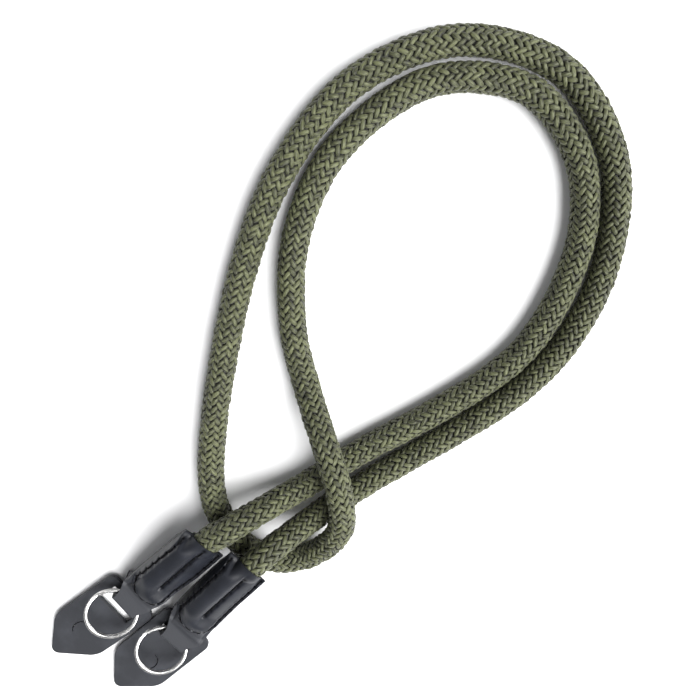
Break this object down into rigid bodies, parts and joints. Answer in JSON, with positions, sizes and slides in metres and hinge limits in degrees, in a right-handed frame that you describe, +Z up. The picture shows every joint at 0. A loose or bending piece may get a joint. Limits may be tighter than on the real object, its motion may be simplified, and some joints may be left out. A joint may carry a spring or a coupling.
{
  "type": "camera neck strap",
  "caption": "Braided rope camera neck strap lying folded on itself, with sewn leather ends that each hold a split ring and a pointed leather guard pad.",
  "frame": {"origin": "the centre of the strap's box, on the surface that it lies on", "axes": "+Z up; +X from the leather pads to the far bend of the rope, the longest way; +Y across the lying loop"},
  "size_m": [0.2965, 0.129, 0.0237],
  "materials": {
    "braid": "olive green braided yarn with darker gaps",
    "sleeve_leather": "smooth black leather with black stitching",
    "pad_leather": "matt charcoal leather",
    "nickel": "bright nickel plate"
  },
  "bodies": {
    "strap": {"rope": "braid", "sleeve_left": "sleeve_leather", "sleeve_right": "sleeve_leather", "pad_left": "pad_leather", "pad_right": "pad_leather"},
    "left_ring": {"ring_left": "nickel"},
    "right_ring": {"ring_right": "nickel"}
  },
  "joints": [
    {"name": "left_ring_swing", "type": "hinge", "parent": "strap", "child": "left_ring", "pos_m": [-0.10722, 0.00244, 0.0055], "axis": [0.2588, 0.9659, 0], "range_deg": [-15, 115]},
    {"name": "right_ring_swing", "type": "hinge", "parent": "strap", "child": "right_ring", "pos_m": [-0.10893, -0.02176, 0.0055], "axis": [0.1564, 0.9877, 0], "range_deg": [-15, 115]}
  ]
}
